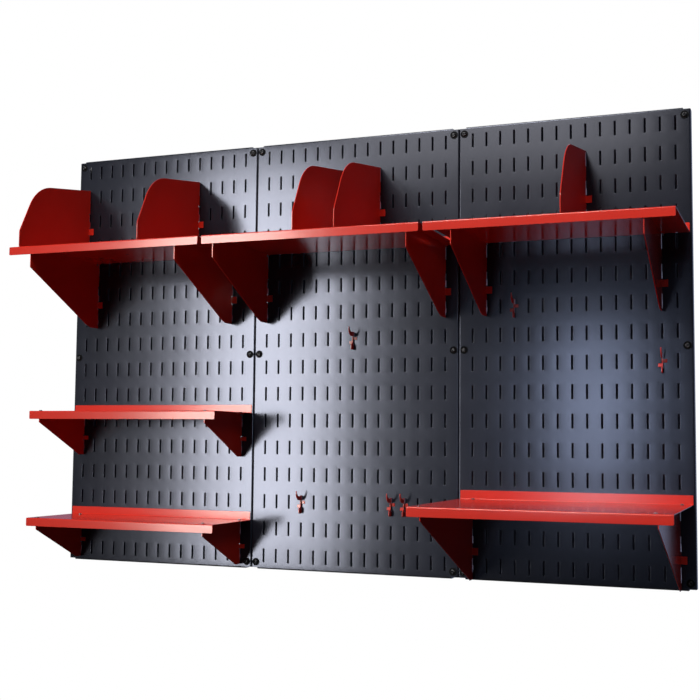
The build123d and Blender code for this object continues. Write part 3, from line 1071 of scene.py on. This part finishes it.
@dataclass
class Studio:
    """Floor, white surroundings, soft lights and the camera."""

    floor_height: float = -1.25
    floor_width: float = 8.0
    floor_front: float = -5.0
    floor_back: float = 1.5
    floor_bounce: tuple = (0.06, 0.06, 0.06)
    wall_inset: float = 2 * MM        # from the outline of the panels
    wall_gap: float = 0.5 * MM        # between the backs of the panels and the wall
    wall_reach: float = 28 * MM       # rays shorter than this pass through the wall
    surroundings: float = 0.012       # brightness of the backdrop for scattered rays
    mirrored: float = 0.10            # and for mirrored rays
    behind: float = 0.30              # brightness that it has more of straight behind the unit
    behind_from: tuple = (0.6, 0.95)  # Y of the directions where that starts and is full
    cool: tuple = (0.58, 0.66, 1.0)   # colour of the backdrop for all but the camera
    lens: float = 60.34
    sensor: float = 36.0
    camera_place: tuple = (0.7851, -2.0463, -0.1688)
    camera_turn: tuple = (94.548, -0.546, 21.287)

    def build(self) -> None:
        """Adds everything that isn't part of the object."""
        self.add_floor()
        self.add_wall_patch()
        self.add_surroundings()
        for box in SOFTBOXES:
            box.light()
        self.add_camera()

    def add_sheet(self, name: str, corners: list, material: bpy.types.Material) -> None:
        """Adds a flat sheet that isn't part of the object.

        Args:
            name: Name of the sheet.
            corners: Its four corners, counter-clockwise from the side that shows.
            material: Its material.
        """
        mesh = bpy.data.meshes.new(name)
        mesh.from_pydata(corners, [], [(0, 1, 2, 3)])
        sheet = placed(name, mesh)
        dress(sheet, material)

    def add_floor(self) -> None:
        """Adds the floor, faintly mottled, pale in view but with little bounce.

        It is clear when seen from below.
        """
        half, front, back = self.floor_width / 2, self.floor_front, self.floor_back
        outline = [(-half, front), (half, front), (half, back), (-half, back)]
        nodes = NodeTree("pale_floor")
        nodes.shader.inputs["Roughness"].default_value = 0.8
        cloud = nodes.span(nodes.noise(0.6, 3.0), 0.3, 0.7, 0.0, 1.0)
        tone = nodes.blend(cloud, (0.62, 0.62, 0.61), (0.58, 0.58, 0.57))
        in_view = nodes.add("ShaderNodeLightPath").outputs["Is Camera Ray"]
        unseen = nodes.span(in_view, 0.0, 1.0, 1.0, 0.0)
        nodes.join(nodes.blend(unseen, tone, self.floor_bounce), nodes.shader.inputs["Base Color"])
        nodes.clear_where(nodes.add("ShaderNodeNewGeometry").outputs["Backfacing"])
        self.add_sheet("floor", [(x, y, self.floor_height) for x, y in outline], nodes.material)

    def add_wall_patch(self) -> None:
        """Adds the stretch of wall behind the panels, its dark grey painted shade of the hollow behind
        them, which darkens their slots.

        It stays inside the outline of the panels, and is clear when seen from behind and to light
        that reaches the backs of the panels.
        """
        lo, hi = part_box("left_panel")[0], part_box("right_panel")[1]
        inset, y = self.wall_inset, hi[1] + self.wall_gap
        left, right, low, high = lo[0] + inset, hi[0] - inset, lo[2] + inset, hi[2] - inset
        corners = [(left, y, low), (right, y, low), (right, y, high), (left, y, high)]
        nodes = NodeTree("wall_with_painted_shade")
        # Dark grey is painted shade: the wall is real, but its darkness stands in for the shade of the
        # hollow seen through the slots, on top of the shading the renderer gives it.
        cloud = nodes.span(nodes.noise(0.2, 3.0), 0.3, 0.7, 0.0, 1.0)
        tone = nodes.blend(cloud, (0.16, 0.16, 0.16), (0.13, 0.13, 0.13))
        nodes.join(tone, nodes.shader.inputs["Base Color"])
        nodes.shader.inputs["Roughness"].default_value = 0.9
        side = nodes.add("ShaderNodeNewGeometry")
        near = nodes.add("ShaderNodeMath", operation="LESS_THAN")
        nodes.join(nodes.add("ShaderNodeLightPath").outputs["Ray Length"], near.inputs[0])
        near.inputs[1].default_value = self.wall_reach
        either = nodes.add("ShaderNodeMath", operation="MAXIMUM")
        nodes.join(near.outputs[0], either.inputs[0])
        nodes.join(side.outputs["Backfacing"], either.inputs[1])
        nodes.clear_where(either.outputs[0])
        self.add_sheet("wall_patch", corners, nodes.material)

    def add_surroundings(self) -> None:
        """Sets a white backdrop that lights the object only softly.

        Mirrored rays meet it brighter than scattered ones do, as in a dark room with pale
        walls, and brighter still behind the unit.
        """
        world = bpy.data.worlds.new("white_room")
        world.use_nodes = True
        bpy.context.scene.world = world
        tree = world.node_tree
        ground = tree.nodes["Background"]
        place, axes = tree.nodes.new("ShaderNodeTexCoord"), tree.nodes.new("ShaderNodeSeparateXYZ")
        tree.links.new(place.outputs["Generated"], axes.inputs["Vector"])
        path = tree.nodes.new("ShaderNodeLightPath")
        tint = tree.nodes.new("ShaderNodeMix")
        tint.data_type = "RGBA"
        tint.inputs["A"].default_value = (*self.cool, 1.0)
        tint.inputs["B"].default_value = (1.0, 1.0, 1.0, 1.0)
        tree.links.new(path.outputs["Is Camera Ray"], tint.inputs["Factor"])
        tree.links.new(tint.outputs["Result"], ground.inputs["Color"])
        levels, ends = [], ("From Min", "From Max", "To Min", "To Max")
        for source, *values in (
            (axes.outputs["Y"], *self.behind_from, 0.0, self.behind),
            (path.outputs["Is Glossy Ray"], 0.0, 1.0, self.surroundings, self.mirrored),
            (path.outputs["Is Camera Ray"], 0.0, 1.0, 0.0, 1.0),
        ):
            level = tree.nodes.new("ShaderNodeMapRange")
            for socket, value in zip(ends, values):
                level.inputs[socket].default_value = value
            tree.links.new(source, level.inputs["Value"])
            levels.append(level.outputs["Result"])
        for first, kind in ((1, "ADD"), (2, "MAXIMUM")):
            sum_of_two = tree.nodes.new("ShaderNodeMath")
            sum_of_two.operation = kind
            tree.links.new(levels[0], sum_of_two.inputs[0])
            tree.links.new(levels[first], sum_of_two.inputs[1])
            levels[0] = sum_of_two.outputs[0]
        tree.links.new(levels[0], ground.inputs["Strength"])

    def add_camera(self) -> None:
        """Adds the camera, low and to the right, looking slightly up."""
        data = bpy.data.cameras.new("camera")
        data.sensor_width = self.sensor
        data.lens = self.lens
        camera = placed("camera", data)
        camera.location = self.camera_place
        camera.rotation_euler = [math.radians(turn) for turn in self.camera_turn]
        bpy.context.scene.camera = camera
        bpy.context.scene.view_settings.view_transform = "Standard"


# --- The whole unit


@dataclass
class WallUnit:
    """The storage unit: one dressed piece for every CAD node, made in the way of its kind."""

    frame: dict
    wall_screw: CrossScrew
    deck_screw: CrossScrew
    washer: FlatWasher

    def build(self) -> None:
        """Makes every piece, sets it on its body and lets it stand in for its CAD node."""
        record = self.frame["record"]
        bodies = record["behaviour"]["bodies"]
        body_of_node = {node: body for body, nodes in bodies.items() for node in nodes}
        materials = {slot.value: finish.material() for slot, finish in FINISHES.items()}
        for part in record["subparts"]:
            node, slot = part["node"], part["material_slot"]
            piece = self.piece(node)
            dress(piece, materials[slot])
            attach(piece, body_of_node[node])
            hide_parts(node)
            log.info("%s: %d faces", piece.name, len(piece.data.polygons))

    def piece(self, node: str) -> bpy.types.Object:
        """Makes the piece for a CAD node.

        Args:
            node: Name of the node; its ending tells its kind.

        Returns:
            The piece.
        """
        makers = {
            "_panel": self.panel,
            "_wall_screws": self.wall_screws,
            "_screw_washers": self.washers,
            "_shelf_deck": self.deck,
            "_shelf_screws": self.deck_screws,
        }
        for ending, maker in makers.items():
            if node.endswith(ending):
                return maker(node)
        return coated_copy(self.frame["nodes"][node], f"{node}_coated", COAT_ROUNDING)

    def panel(self, node: str) -> bpy.types.Object:
        """Makes a slotted panel."""
        low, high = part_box(node)
        return SlottedPanel(f"{node}_slotted", (low[0] + high[0]) / 2).build()

    def places(self, node: str, axis: int, end: int, step: float) -> list:
        """Places of a node's fasteners, each on its own middle line.

        Args:
            node: Name of the node.
            axis: Axis that the fasteners point along, 0 to 2.
            end: 0 to start at their lower ends on that axis, 1 at their upper ends.
            step: Distance on from there along the axis.

        Returns:
            One point for each fastener.
        """
        apart = tuple(other for other in range(3) if other != axis)
        points = []
        for box in solid_boxes(self.frame["nodes"][node], apart):
            point = (box[0] + box[1]) / 2
            point[axis] = box[end][axis] + step
            points.append(point)
        return points

    def wall_screws(self, node: str) -> bpy.types.Object:
        """Makes the screws of a panel, their heads' undersides on the washers."""
        places = self.places(node, axis=1, end=0, step=self.wall_screw.head_height)
        return set_out(f"{node}_threaded", self.wall_screw.surface(), places, OUT_OF_WALL)

    def washers(self, node: str) -> bpy.types.Object:
        """Makes the washers of a panel, flat on its face."""
        places = self.places(node, axis=1, end=1, step=0.0)
        return set_out(f"{node}_rounded", self.washer.surface(), places, OUT_OF_WALL)

    def deck(self, node: str) -> bpy.types.Object:
        """Makes a shelf deck."""
        low, high = (np.array(corner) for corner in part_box(node))
        return FoldedDeck(f"{node}_folded", low, high).build()

    def deck_screws(self, node: str) -> bpy.types.Object:
        """Makes the screws of a shelf, their heads' undersides on the deck."""
        places = self.places(node, axis=2, end=1, step=-self.deck_screw.head_height)
        return set_out(f"{node}_threaded", self.deck_screw.surface(), places, UPRIGHT)


def main() -> None:
    """Builds the unit and the studio."""
    logging.basicConfig(level=logging.INFO, format="%(name)s: %(message)s")
    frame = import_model()
    wall_screw = CrossScrew(
        head_diameter=8.2 * MM,
        head_height=2.8 * MM,
        diameter=4.2 * MM,
        length=45.25 * MM,
        point=6.0 * MM,
        neck=3.1 * MM,
        pitch=1.8 * MM,
    )
    deck_screw = CrossScrew(
        head_diameter=6.4 * MM,
        head_height=2.0 * MM,
        diameter=3.0 * MM,
        length=7.5 * MM,
        point=1.5 * MM,
        neck=1.4 * MM,
        pitch=1.1 * MM,
    )
    WallUnit(frame, wall_screw, deck_screw, FlatWasher()).build()
    Studio().build()


if __name__ == "__main__":
    main()
